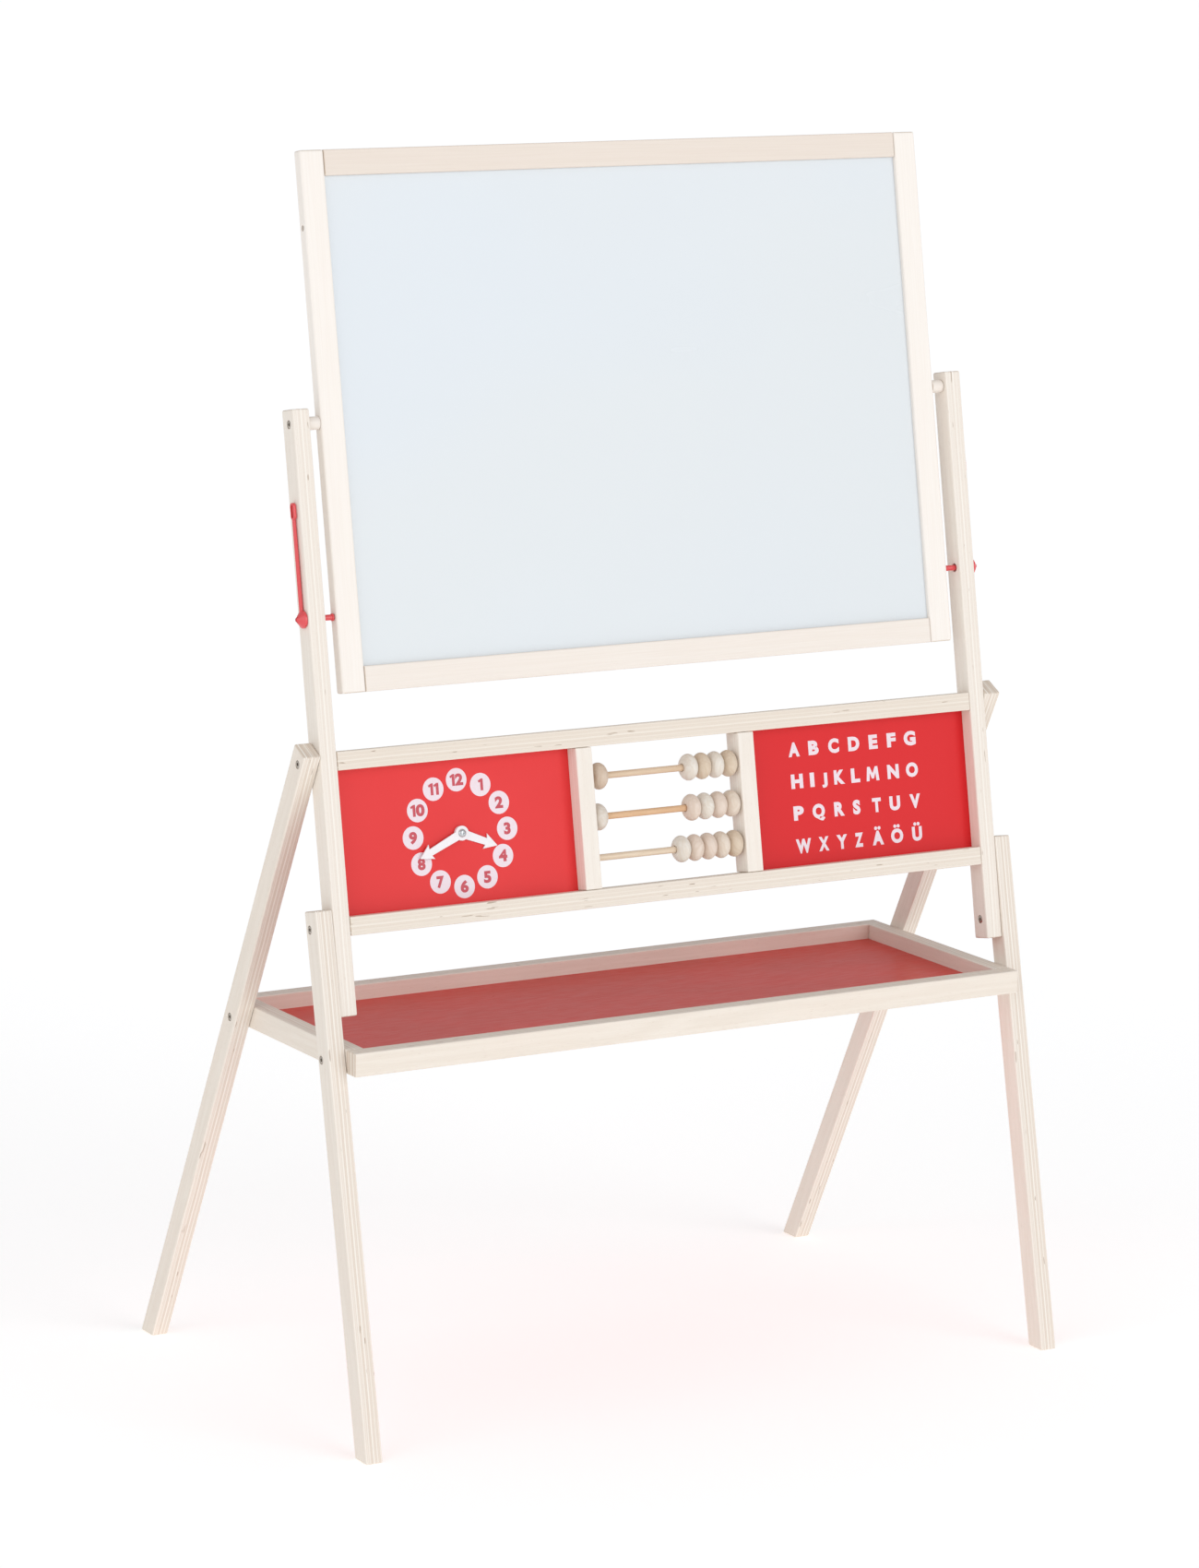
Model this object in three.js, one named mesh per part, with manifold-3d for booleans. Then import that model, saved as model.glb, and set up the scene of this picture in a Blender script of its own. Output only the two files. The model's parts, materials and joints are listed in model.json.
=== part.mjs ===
// A children's standing easel: a writing board that turns over between two posts,
// a play panel with a clock, an abacus and an alphabet below it, and a tray.
// The frame is sawn from plywood strips. X runs across, Y to the back and Z up,
// and the origin is on the floor in the middle of the footprint.
import * as THREE from "three";
import { mergeVertices } from "three/addons/utils/BufferGeometryUtils.js";
import Module from "manifold-3d";

// Driving dimensions, in millimetres and degrees. Y and Z of a leaning strip are
// measured in its own frame: Y behind its front face and Z along it from the floor.
const PLY = 17.5; // thickness of the plywood
const STRIP = 22.5; // width of the strips sawn from it
const GAP = 0.3; // between pieces that touch
const POST_INNER = 352.5; // half the clear width between the posts
const POST_LEAN = 10.3;
const POST_FOOT_Y = 14.6; // where the posts' front plane meets the floor
const POST_ENDS = [411, 974];
const FRONT_LEAN = 11.9;
const FRONT_TOP = 514;
const REAR_LEAN = 27.15;
const REAR_FOOT_Y = 458.4;
const REAR_TOP = 722.4;

const PIVOT = [10, 960.2]; // axis of the writing board, behind and along the posts
const LOCK_DROP = 180; // from the pivot to the lock pins
const BOARD = { half_width: 339.5, half_height: 251.5, thick: 12.7, stile: 24.5, rail: 24.2 };
const SHEET = 1.9; // thickness of each writing sheet
const SPACER_RADIUS = 6.35;

const LOWER_RAIL = 485; // underside of the lower panel rail
const UPPER_RAIL = 638.5;
const MULLION_X = 90.3;
const PANEL = { recess: 16, thick: 4 };
const CLOCK = { x: -221.3, z: 568.5, hub: 7, arm: 4.1, head: 7.6, head_length: 12.2 };
const HAND = { thick: 1.6, hour: 40.3, hour_turn: 111.6, minute: 50.2, minute_turn: 246.5 };

const ROD_RADIUS = 3.2;
const ROD_SOCKET = 8; // depth of the blind holes that hold a rod
const ROD_PITCH = 38.8;
const BEAD = { radius: 13, length: 14.4, bore: 3.7, pitch: 14.8, flat: 60 };
const LONE_BEADS = [-70.5, -73.9]; // beads pushed to the left on the two upper rods

const TRAY = { front: 58.8, rear: 320.3, base: 353.4, floor_drop: 15, floor: 4 };

const SCREW = { head: 3.8, head_depth: 2.2, shank: 2, socket: 1.7, socket_depth: 1.6 };
const SCREW_PLAY = 0.35;
const LOCK = { shank: 2.8, tip: 3.6, tip_length: 1.4, flange: 8.3, flange_depth: 3, nub: 8.8 };
const LEVER = { radius: 2, off: 2.3, length: 108, eye: 16, eye_width: 7.5, slot: 3, thick: 3.2 };

const rad = THREE.MathUtils.degToRad;
const OUTER = POST_INNER + PLY;
const LEG_INNER = OUTER + GAP;
const LEG_OUTER = LEG_INNER + PLY;
const MID = STRIP / 2;
const DEPTH = REAR_FOOT_Y + STRIP / Math.cos(rad(REAR_LEAN));
const SIDES = [
  ["left", -1],
  ["right", 1],
];

const wasm = await Module();
wasm.setup();

const easel = new THREE.Group();
const postFrame = leaningFrame(POST_FOOT_Y, -POST_LEAN);
const frontFrame = leaningFrame(0, -FRONT_LEAN);
const rearFrame = leaningFrame(REAR_FOOT_Y, REAR_LEAN);
const levelFrame = leaningFrame(0, 0);

function leaningFrame(footY, angle) {
  const frame = new THREE.Group();
  frame.position.y = footY - DEPTH / 2;
  frame.rotation.x = rad(angle);
  frame.updateMatrix();
  easel.add(frame);
  return frame;
}

// Finishes.
const finish = (color, roughness, metalness = 0) =>
  new THREE.MeshStandardMaterial({ color, roughness, metalness });
const birch = () => finish(0xeae0d2, 0.62);
const limedPine = () => finish(0xf3ebe2, 0.55);
const beech = () => finish(0xd9b592, 0.55);
const redPaint = () => finish(0xd8322f, 0.45);
const redPlastic = () => finish(0xd8383c, 0.35);
const whitePlastic = () => finish(0xe9e6e4, 0.4);
const whiteEnamel = () => finish(0xe4ebf2, 0.18);
const chalkPaint = () => finish(0x2b302e, 0.85);
const steel = () => finish(0x8d9092, 0.35, 0.9);

// A closed three.js geometry as a manifold-3d solid, and back.
function solidOf(geometry) {
  const bare = geometry.clone();
  bare.deleteAttribute("normal");
  bare.deleteAttribute("uv");
  const merged = mergeVertices(bare, 1e-4);
  const vertProperties = merged.attributes.position.array;
  const triVerts = new Uint32Array(merged.index.array);
  return new wasm.Manifold(new wasm.Mesh({ numProp: 3, vertProperties, triVerts }));
}

function geometryOf(solid) {
  const mesh = solid.getMesh();
  const geometry = new THREE.BufferGeometry();
  geometry.setAttribute("position", new THREE.BufferAttribute(mesh.vertProperties, 3));
  geometry.setIndex(new THREE.BufferAttribute(mesh.triVerts, 1));
  geometry.computeVertexNormals();
  return geometry;
}

const joined = (...parts) => geometryOf(parts.map(solidOf).reduce((a, b) => a.add(b)));
const cut = (part, ...tools) =>
  geometryOf(tools.map(solidOf).reduce((a, b) => a.subtract(b), solidOf(part)));

// Adds a named mesh to a frame. The holes are given in the easel's own frame.
function add(frame, name, material, geometry, holes = []) {
  const toFrame = frame.matrix.clone().invert();
  const tools = holes.map((hole) => hole.clone().applyMatrix4(toFrame));
  const mesh = new THREE.Mesh(tools.length ? cut(geometry, ...tools) : geometry, material);
  mesh.name = name;
  frame.add(mesh);
  return mesh;
}

// A block between two corners.
function block([x0, y0, z0], [x1, y1, z1]) {
  const box = new THREE.BoxGeometry(x1 - x0, y1 - y0, z1 - z0);
  return box.translate((x0 + x1) / 2, (y0 + y1) / 2, (z0 + z1) / 2);
}

// An outline in Y and Z, thickened along X.
function thickened(outline, x0, x1) {
  const shape = new THREE.Shape(outline.map(([y, z]) => new THREE.Vector2(y, z)));
  const slab = new THREE.ExtrudeGeometry(shape, { depth: x1 - x0, bevelEnabled: false });
  const turn = new THREE.Matrix4().makeBasis(
    new THREE.Vector3(0, 1, 0),
    new THREE.Vector3(0, 0, 1),
    new THREE.Vector3(1, 0, 0),
  );
  return slab.applyMatrix4(turn).translate(x0, 0, 0);
}

// A turned piece along X, from a profile of [x, radius] points.
function turned(profile, segments = 16) {
  const points = profile.map(([x, r]) => new THREE.Vector2(r, x));
  return new THREE.LatheGeometry(points, segments).rotateZ(-Math.PI / 2);
}

const dowel = (x0, x1, r, segments = 16) =>
  turned([[x0, 0], [x0, r], [x1, r], [x1, 0]], segments);

// A place on one side of the easel: local +X points away from the middle.
function sidePlace(side, x, y, z) {
  const turn = new THREE.Matrix4().makeRotationZ(side < 0 ? Math.PI : 0);
  return new THREE.Matrix4().makeTranslation(side * x, y, z).multiply(turn);
}

// A place in a leaning frame, told in the easel's frame.
const inEasel = (frame, [y, z]) => new THREE.Vector3(0, y, z).applyMatrix4(frame.matrix);

// Screws: origin in the middle of the head's face, and the shank runs to -X.
function screwShape(length, play = 0) {
  const head = SCREW.head + play;
  const shank = SCREW.shank + play;
  const top = play ? 1 : 0;
  return turned(
    [
      [-length - play, 0],
      [-length - play, shank / 2],
      [-length + 3, shank],
      [-SCREW.head_depth - play, shank],
      [-SCREW.head_depth - play, head],
      [top, head],
      [top, 0],
    ],
    12,
  );
}

function screwWithSocket(length) {
  const socket = dowel(-SCREW.socket_depth, 1, SCREW.socket, 6);
  return cut(screwShape(length), socket);
}

// Drives one screw: x is where its head's face lies, and out is 1 when the head
// faces away from the easel's middle. Returns the hole that its pieces need.
function driveScrew(name, side, out, x, point, length) {
  const place = sidePlace(side, x, point.y, point.z);
  if (out < 0) place.multiply(new THREE.Matrix4().makeRotationZ(Math.PI));
  const screw = add(easel, name, steel(), screwWithSocket(length));
  screw.applyMatrix4(place);
  return screwShape(length, SCREW_PLAY).applyMatrix4(place);
}

const LOWER_RAIL_MID = LOWER_RAIL + PLY / 2;
const UPPER_RAIL_MID = UPPER_RAIL + PLY / 2;
const TRAY_MID = TRAY.base + STRIP / 2;
const TRAY_TOP = TRAY.base + STRIP;
const LOCK_AT = [PIVOT[0], PIVOT[1] - LOCK_DROP];
const holes = { left: {}, right: {} };
for (const [word, side] of SIDES) {
  const drive = (key, out, x, point, length) => {
    holes[word][key] = driveScrew(`${word}_${key}_screw`, side, out, x, point, length);
  };
  drive("rear_leg", 1, LEG_OUTER, inEasel(postFrame, [12.5, UPPER_RAIL_MID]), 55);
  drive("front_leg", 1, LEG_OUTER, inEasel(postFrame, [14.5, LOWER_RAIL_MID]), 55);
  drive("post", -1, POST_INNER, inEasel(postFrame, [MID, 430]), 30);
  drive("tray_rear", 1, LEG_OUTER, inEasel(levelFrame, [284, TRAY_MID]), 32);
  drive("tray_front", 1, LEG_OUTER, inEasel(levelFrame, [93.5, TRAY_MID]), 32);
  drive("pivot", 1, OUTER, inEasel(postFrame, PIVOT), 48);
}

// Posts, with a clearance hole for the lock pin.
const lockHole = (side) => {
  const point = inEasel(postFrame, LOCK_AT);
  const place = sidePlace(side, 0, point.y, point.z);
  return dowel(BOARD.half_width, OUTER + 1, LOCK.tip + 0.5).applyMatrix4(place);
};
for (const [word, side] of SIDES) {
  const [x0, x1] = [side * POST_INNER, side * OUTER].sort((a, b) => a - b);
  const post = block([x0, 0, POST_ENDS[0]], [x1, STRIP, POST_ENDS[1]]);
  const { rear_leg, front_leg, post: inner, pivot } = holes[word];
  const bores = [rear_leg, front_leg, inner, pivot, lockHole(side)];
  add(postFrame, `${word}_post`, birch(), post, bores);
}

// Legs: sawn level at the floor and square at the top.
function legOutline(lean, top) {
  const rise = STRIP * Math.tan(rad(lean));
  return [[0, 0], [STRIP, rise], [STRIP, top], [0, top]];
}
for (const [word, side] of SIDES) {
  const [x0, x1] = [side * LEG_INNER, side * LEG_OUTER].sort((a, b) => a - b);
  const { rear_leg, front_leg, post, tray_rear, tray_front } = holes[word];
  const front = thickened(legOutline(FRONT_LEAN, FRONT_TOP), x0, x1);
  add(frontFrame, `${word}_front_leg`, birch(), front, [front_leg, post, tray_front]);
  const rear = thickened(legOutline(-REAR_LEAN, REAR_TOP), x0, x1);
  add(rearFrame, `${word}_rear_leg`, birch(), rear, [rear_leg, tray_rear]);
}

// Writing board: two full-height stiles, two rails and two sheets back to back.
const boardMid = { y: PIVOT[0], z: PIVOT[1] };
const boardFront = boardMid.y - BOARD.thick / 2;
const boardBack = boardMid.y + BOARD.thick / 2;
const boardBlock = (x0, x1, y0, y1, z0, z1) =>
  block([x0, y0, boardMid.z + z0], [x1, y1, boardMid.z + z1]);
for (const [word, side] of SIDES) {
  const inner = side * (BOARD.half_width - BOARD.stile);
  const [x0, x1] = [inner, side * BOARD.half_width].sort((a, b) => a - b);
  const stile = boardBlock(x0, x1, boardFront, boardBack, -BOARD.half_height, BOARD.half_height);
  // Blind holes for the lock pin, one for each face of the board.
  const lockHoles = [-LOCK_DROP, LOCK_DROP].map((drop) => {
    const point = inEasel(postFrame, [boardMid.y, boardMid.z + drop]);
    const place = sidePlace(side, 0, point.y, point.z);
    return dowel(BOARD.half_width - 12, BOARD.half_width + 1, 2.6).applyMatrix4(place);
  });
  const bores = [holes[word].pivot, ...lockHoles];
  add(postFrame, `board_${word}_stile`, limedPine(), stile, bores);
}
const railEnd = BOARD.half_width - BOARD.stile - GAP;
const railInner = BOARD.half_height - BOARD.rail;
for (const [word, z0] of [["top", railInner], ["bottom", -BOARD.half_height]]) {
  const rail = boardBlock(-railEnd, railEnd, boardFront, boardBack, z0, z0 + BOARD.rail);
  add(postFrame, `board_${word}_rail`, limedPine(), rail);
}
const sheetEdge = railInner - GAP;
const sheetMeet = GAP / 2;
for (const [name, material, y0] of [
  ["whiteboard_sheet", whiteEnamel(), boardMid.y - sheetMeet - SHEET],
  ["chalkboard_sheet", chalkPaint(), boardMid.y + sheetMeet],
]) {
  const sheet = boardBlock(-railEnd, railEnd, y0, y0 + SHEET, -sheetEdge, sheetEdge);
  add(postFrame, name, material, sheet);
}

// Round spacers between the posts and the board, on the pivot screws.
for (const [word, side] of SIDES) {
  const spacer = dowel(BOARD.half_width + GAP, POST_INNER - GAP, SPACER_RADIUS, 20);
  const bored = cut(spacer, dowel(BOARD.half_width, POST_INNER, SCREW.shank + SCREW_PLAY, 12));
  const mesh = add(postFrame, `${word}_pivot_spacer`, birch(), bored);
  mesh.applyMatrix4(sidePlace(side, 0, boardMid.y, boardMid.z));
}

// Lock pins: one moulding each, with a pin, a coned hub and a lever with an eye.
// Origin on the post's outer face, and local +X points away from the post.
function lockPinShape() {
  const reach = OUTER - BOARD.half_width - 0.5;
  const pin = turned([
    [-reach, 0],
    [-reach, LOCK.tip],
    [-reach + LOCK.tip_length, LOCK.tip],
    [-reach + LOCK.tip_length + 0.8, LOCK.shank],
    [GAP, LOCK.shank],
    [GAP, LOCK.flange],
    [LOCK.flange_depth, LOCK.flange],
    [LOCK.nub - 1.2, 2.4],
    [LOCK.nub, 1.2],
    [LOCK.nub, 0],
  ], 20);
  const arm = new THREE.CylinderGeometry(LEVER.radius * 0.9, LEVER.radius, 1, 12)
    .rotateX(Math.PI / 2)
    .scale(1, 1, LEVER.length - LEVER.eye - 1)
    .translate(LEVER.off, 0, (LEVER.length - LEVER.eye + 4) / 2);
  const ring = (inset) => {
    const half = LEVER.eye_width / 2 - inset;
    const top = LEVER.length - LEVER.eye_width / 2;
    const bottom = LEVER.length - LEVER.eye + LEVER.eye_width / 2;
    const outline = [];
    for (let i = 0; i <= 8; i++) {
      const turn = (Math.PI * i) / 8;
      outline.push([half * Math.cos(turn), top + half * Math.sin(turn)]);
    }
    for (let i = 0; i <= 8; i++) {
      const turn = Math.PI + (Math.PI * i) / 8;
      outline.push([half * Math.cos(turn), bottom + half * Math.sin(turn)]);
    }
    return thickened(outline, LEVER.off - LEVER.thick / 2, LEVER.off + LEVER.thick / 2);
  };
  const slot = ring((LEVER.eye_width - LEVER.slot) / 2).scale(3, 1, 1).translate(-LEVER.off, 0, 0);
  return joined(pin, arm, cut(ring(0), slot));
}
for (const [word, side] of SIDES) {
  const mesh = add(postFrame, `${word}_lock_pin`, redPlastic(), lockPinShape());
  mesh.applyMatrix4(sidePlace(side, OUTER, ...LOCK_AT));
}

// Play panel: two rails between the posts, two mullions and a panel in each end bay.
const panelRailEnd = POST_INNER - GAP;
for (const [word, z] of [["upper", UPPER_RAIL], ["lower", LOWER_RAIL]]) {
  const rail = block([-panelRailEnd, 0, z], [panelRailEnd, STRIP, z + PLY]);
  const key = word === "upper" ? "rear_leg" : "front_leg";
  add(postFrame, `${word}_panel_rail`, birch(), rail, [holes.left[key], holes.right[key]]);
}
const bayBase = LOWER_RAIL + PLY + GAP;
const bayTop = UPPER_RAIL - GAP;
const bayMid = (bayBase + bayTop) / 2;
const rodHeights = [bayMid + ROD_PITCH, bayMid, bayMid - ROD_PITCH];
const bayInner = MULLION_X - PLY / 2; // half the abacus bay
const socketEnd = bayInner + ROD_SOCKET;
for (const [word, side] of SIDES) {
  const [x0, x1] = [side * bayInner, side * (bayInner + PLY)].sort((a, b) => a - b);
  const sockets = rodHeights.map((z) =>
    dowel(-socketEnd - GAP, socketEnd + GAP, ROD_RADIUS + GAP).translate(0, MID, z),
  );
  const mullion = cut(block([x0, 0, bayBase], [x1, STRIP, bayTop]), ...sockets);
  add(postFrame, `${word}_mullion`, birch(), mullion);
}
const panelInner = bayInner + PLY + GAP;
for (const [name, side] of [["clock_panel", -1], ["letter_panel", 1]]) {
  const [x0, x1] = [side * panelInner, side * panelRailEnd].sort((a, b) => a - b);
  const backY = PANEL.recess + PANEL.thick;
  const panel = block([x0, PANEL.recess, bayBase], [x1, backY, bayTop]);
  const hole = new THREE.CylinderGeometry(1.9, 1.9, 3 * PANEL.thick, 12);
  hole.translate(CLOCK.x, PANEL.recess, CLOCK.z);
  add(postFrame, name, redPaint(), side < 0 ? cut(panel, hole) : panel);
}

// Clock hands: flat arrows that turn on one dome-headed screw.
function handOutline(length) {
  const neck = length - CLOCK.head_length;
  const shoulder = Math.asin(CLOCK.arm / CLOCK.hub);
  const points = [[CLOCK.arm, neck], [CLOCK.head, neck - 1.5], [0, length]];
  points.push([-CLOCK.head, neck - 1.5], [-CLOCK.arm, neck]);
  const hub = [];
  for (let i = 0; i <= 12; i++) {
    const turn = Math.PI / 2 + shoulder + ((2 * Math.PI - 2 * shoulder) * i) / 12;
    hub.push([CLOCK.hub * Math.cos(turn), CLOCK.hub * Math.sin(turn)]);
  }
  return points.concat(hub);
}
// Hands are drawn in X and Z, with Y through their thickness.
function handShape(length) {
  const shape = new THREE.Shape(handOutline(length).map(([x, z]) => new THREE.Vector2(x, z)));
  shape.holes.push(new THREE.Path().absarc(0, 0, 2.2, 0, 2 * Math.PI));
  const options = { depth: HAND.thick, bevelEnabled: false, curveSegments: 8 };
  return new THREE.ExtrudeGeometry(shape, options).rotateX(Math.PI / 2);
}
const hourY = PANEL.recess - GAP;
const minuteY = hourY - HAND.thick - GAP;
for (const [name, length, turn, y] of [
  ["hour_hand", HAND.hour, HAND.hour_turn, hourY],
  ["minute_hand", HAND.minute, HAND.minute_turn, minuteY],
]) {
  const mesh = add(postFrame, name, whitePlastic(), handShape(length));
  mesh.position.set(CLOCK.x, y, CLOCK.z);
  mesh.rotation.y = rad(turn);
}
const domeY = minuteY - HAND.thick - GAP;
const dome = [];
for (let i = 0; i <= 4; i++) {
  const turn = (Math.PI / 2) * (i / 4);
  dome.push([domeY - 2.1 * Math.cos(turn), 3.9 * Math.sin(turn)]);
}
const handScrew = turned([...dome, [domeY, 1.6], [PANEL.recess + PANEL.thick, 1.6],
  [PANEL.recess + PANEL.thick, 0]]);
add(postFrame, "hand_screw", steel(), handScrew.rotateZ(Math.PI / 2))
  .position.set(CLOCK.x, 0, CLOCK.z);

// Abacus: three rods held in the mullions, and five beads on each.
const bead = [];
for (let i = 0; i <= 6; i++) {
  const turn = rad(BEAD.flat * (i / 3 - 1));
  const x = ((BEAD.length / 2) * Math.sin(turn)) / Math.sin(rad(BEAD.flat));
  bead.push([x, BEAD.radius * Math.cos(turn)]);
}
bead.unshift([-BEAD.length / 2, BEAD.bore]);
bead.push([BEAD.length / 2, BEAD.bore], [-BEAD.length / 2, BEAD.bore]);
const lastBead = bayInner - GAP - BEAD.length / 2;
rodHeights.forEach((z, row) => {
  const rod = dowel(-socketEnd, socketEnd, ROD_RADIUS, 12).translate(0, MID, z);
  add(postFrame, `abacus_rod_${row + 1}`, beech(), rod);
  for (let n = 1; n <= 5; n++) {
    const packed = lastBead - (5 - n) * BEAD.pitch;
    const x = n === 1 && row < LONE_BEADS.length ? LONE_BEADS[row] : packed;
    const mesh = add(postFrame, `bead_${row + 1}_${n}`, birch(), turned(bead, 16));
    mesh.position.set(x, MID, z);
  }
});

// Tray: front and rear boards run right across, and the side boards fit between them.
const trayBlock = (x0, x1, y0, y1, z0 = TRAY.base, z1 = TRAY_TOP) =>
  block([x0, y0, z0], [x1, y1, z1]);
const front = trayBlock(-OUTER, OUTER, TRAY.front, TRAY.front + PLY);
add(levelFrame, "tray_front_board", birch(), front);
const rear = trayBlock(-OUTER, OUTER, TRAY.rear - PLY, TRAY.rear);
add(levelFrame, "tray_rear_board", birch(), rear);
const insideFront = TRAY.front + PLY + GAP;
const insideRear = TRAY.rear - PLY - GAP;
for (const [word, side] of SIDES) {
  const [x0, x1] = [side * POST_INNER, side * OUTER].sort((a, b) => a - b);
  const board = trayBlock(x0, x1, insideFront, insideRear);
  const { tray_rear, tray_front } = holes[word];
  add(levelFrame, `tray_${word}_side`, birch(), board, [tray_rear, tray_front]);
}
const floorTop = TRAY_TOP - TRAY.floor_drop;
const floorX = POST_INNER - GAP;
const floor = trayBlock(-floorX, floorX, insideFront, insideRear, floorTop - TRAY.floor, floorTop);
add(levelFrame, "tray_floor", redPaint(), floor);

export default easel;
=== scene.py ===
# A children's standing easel of limed birch plywood: a writing board that turns over
# between two posts, a play panel below it, and a shallow tray between splayed legs.
# Each section below makes one piece, or one group of like pieces, as it is put together.
import json
import math
import random

import bmesh
import bpy
from mathutils import Euler, Matrix, Vector


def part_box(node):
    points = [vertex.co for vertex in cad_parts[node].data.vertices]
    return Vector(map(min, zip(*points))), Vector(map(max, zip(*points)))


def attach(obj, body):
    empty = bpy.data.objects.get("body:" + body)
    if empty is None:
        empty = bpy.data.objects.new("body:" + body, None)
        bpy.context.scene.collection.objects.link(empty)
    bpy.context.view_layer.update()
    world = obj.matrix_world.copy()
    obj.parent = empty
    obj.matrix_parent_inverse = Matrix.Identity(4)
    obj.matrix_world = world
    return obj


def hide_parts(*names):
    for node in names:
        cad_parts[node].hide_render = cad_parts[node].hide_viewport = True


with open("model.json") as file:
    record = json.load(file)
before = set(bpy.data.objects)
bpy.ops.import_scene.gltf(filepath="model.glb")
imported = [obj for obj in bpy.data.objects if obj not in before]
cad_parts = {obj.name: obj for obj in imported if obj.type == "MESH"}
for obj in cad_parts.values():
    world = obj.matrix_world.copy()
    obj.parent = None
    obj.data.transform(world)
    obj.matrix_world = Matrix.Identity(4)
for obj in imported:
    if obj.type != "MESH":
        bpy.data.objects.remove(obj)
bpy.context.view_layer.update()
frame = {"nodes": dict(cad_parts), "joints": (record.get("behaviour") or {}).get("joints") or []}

# --------------------------------------------
# Studio: a long lens from the front left, a pale floor, and light that is soft and
# nearly even, a little stronger from the front.
# --------------------------------------------
lens_place = Vector((-2.5722, -4.3771, 1.5642))
yaw, pitch, roll = math.radians(30.382), math.radians(-11.139), math.radians(0.740)
flat = math.cos(pitch)
ahead = Vector((math.sin(yaw) * flat, math.cos(yaw) * flat, math.sin(pitch)))
level = Vector((math.cos(yaw), -math.sin(yaw), 0))
above = level.cross(ahead)
across = level * math.cos(roll) + above * math.sin(roll)
upward = above * math.cos(roll) - level * math.sin(roll)


def placed(name, data):
    """A new object in the scene, at the origin."""
    thing = bpy.data.objects.new(name, data)
    bpy.context.scene.collection.objects.link(thing)
    return thing


camera = placed("camera", bpy.data.cameras.new("camera"))
camera.data.sensor_width = 36
camera.data.lens = 121.50847
camera.data.clip_end = 200
camera.matrix_world = Matrix.LocRotScale(
    lens_place, Matrix((across, upward, -ahead)).transposed().to_quaternion(), None
)
bpy.context.scene.camera = camera
bpy.context.scene.view_settings.view_transform = "Standard"


def put(tree, kind, values=None, **settings):
    """A node with its settings. Values go to its inputs, and a socket among them is linked."""
    made = tree.nodes.new(kind)
    for key, value in settings.items():
        setattr(made, key, value)
    for key, value in (values or {}).items():
        if isinstance(value, bpy.types.NodeSocket):
            tree.links.new(value, made.inputs[key])
        else:
            made.inputs[key].default_value = value
    return made


def finish_named(name, values):
    """A new material, its tree, and the one Principled shader in it."""
    material = bpy.data.materials.new(name)
    material.use_nodes = True
    tree = material.node_tree
    tree.nodes.clear()
    shader = put(tree, "ShaderNodeBsdfPrincipled", values)
    put(tree, "ShaderNodeOutputMaterial", {"Surface": shader.outputs[0]})
    return material, tree, shader


def soft_light(name, comes_from, strength, spread):
    """Even light from far away, as from a very large diffuser."""
    lamp = bpy.data.lights.new(name, "SUN")
    lamp.energy = strength
    lamp.angle = math.radians(spread)
    light = placed(name, lamp)
    light.rotation_mode = "QUATERNION"
    light.rotation_quaternion = (-Vector(comes_from)).to_track_quat("-Z", "Y")


soft_light("front_light", (0.30, -0.90, 0.30), 0.84, 42)
soft_light("left_light", (-0.85, -0.40, 0.36), 0.56, 50)

world = bpy.data.worlds.new("studio")
bpy.context.scene.world = world
world.use_nodes = True
sky = world.node_tree.nodes["Background"].inputs
sky["Color"].default_value = (0.985, 0.99, 1.0, 1)
sky["Strength"].default_value = 0.55

# White paper lit a little from below, as on a light table.
floor_paper, _, _ = finish_named(
    "floor_paper",
    {
        "Base Color": (0.96, 0.96, 0.96, 1),
        "Roughness": 0.9,
        "Emission Color": (1, 1, 1, 1),
        "Emission Strength": 0.36,
    },
)
FLOOR_REACH, FLOOR_LEVEL = 60.0, -0.0002  # just below the feet, so that no faces coincide
corners = ((-1, -1), (1, -1), (1, 1), (-1, 1))
floor_mesh = bpy.data.meshes.new("floor")
floor_mesh.from_pydata(
    [(x * FLOOR_REACH, y * FLOOR_REACH, FLOOR_LEVEL) for x, y in corners], [], [(0, 1, 2, 3)]
)
floor_mesh.materials.append(floor_paper)
floor = placed("floor", floor_mesh)

# --------------------------------------------
# Posts: two strips sawn from birch plywood, with the veneer on their sides and the
# plies showing in front and behind. Bored for the pivot screws and the lock pins.
# --------------------------------------------
MM = 0.001


def stored(tree, name, kind="Fac"):
    """What a mesh stores under a name."""
    return put(tree, "ShaderNodeAttribute", attribute_name=name).outputs[kind]


def arithmetic(tree, operation, *values, clamp=False):
    """One step of arithmetic on numbers and sockets."""
    made = tree.nodes.new("ShaderNodeMath")
    made.operation = operation
    made.use_clamp = clamp
    for socket, value in zip(made.inputs, values):
        if isinstance(value, bpy.types.NodeSocket):
            tree.links.new(value, socket)
        else:
            socket.default_value = value
    return made.outputs[0]


def streaks(tree, place, stretch, detail=3.0, roughness=0.55):
    """Noise of 0 to 1 over a place in millimetres, drawn out by the stretch on each axis."""
    drawn = put(tree, "ShaderNodeVectorMath", {0: place, 1: stretch}, operation="MULTIPLY")
    noise = put(
        tree,
        "ShaderNodeTexNoise",
        {"Vector": drawn.outputs[0], "Scale": 1.0, "Detail": detail, "Roughness": roughness},
    )
    return noise.outputs["Fac"]


def ramp(tree, value, low, high):
    """0 below low and 1 above high, smoothly between them."""
    return put(
        tree,
        "ShaderNodeMapRange",
        {"Value": value, "From Min": low, "From Max": high},
        interpolation_type="SMOOTHSTEP",
    ).outputs[0]


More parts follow.
